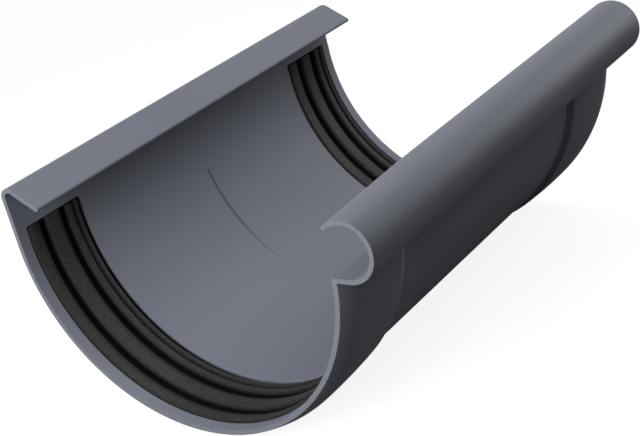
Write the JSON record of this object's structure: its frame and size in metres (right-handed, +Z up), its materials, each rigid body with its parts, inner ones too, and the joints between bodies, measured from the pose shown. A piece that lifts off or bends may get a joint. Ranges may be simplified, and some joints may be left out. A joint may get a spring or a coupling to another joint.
{
  "type": "gutter connector",
  "caption": "Half-round rain gutter connector with a folded rear flange, an open front bead and ribbed rubber seal strips set in flared seats at each end.",
  "frame": {"origin": "Centre of the part's bounding box in X and Y, at its lowest point in Z, where the flared seats touch the floor", "axes": "+Y along the gutter; +X from the rear flange towards the front bead; +Z up, with the part lying at rest on its flared seats, so the channel's mouth is turned 2.5 degrees from level towards the bead"},
  "size_m": [0.1512, 0.196, 0.0901],
  "materials": {
    "plastic": "smooth satin moulded plastic, anthracite grey, coloured through",
    "rubber": "matt black ribbed sealing rubber"
  },
  "bodies": {
    "root": {"gutter_body": "plastic", "seal_strip_near": "rubber", "seal_strip_far": "rubber"}
  },
  "joints": []
}
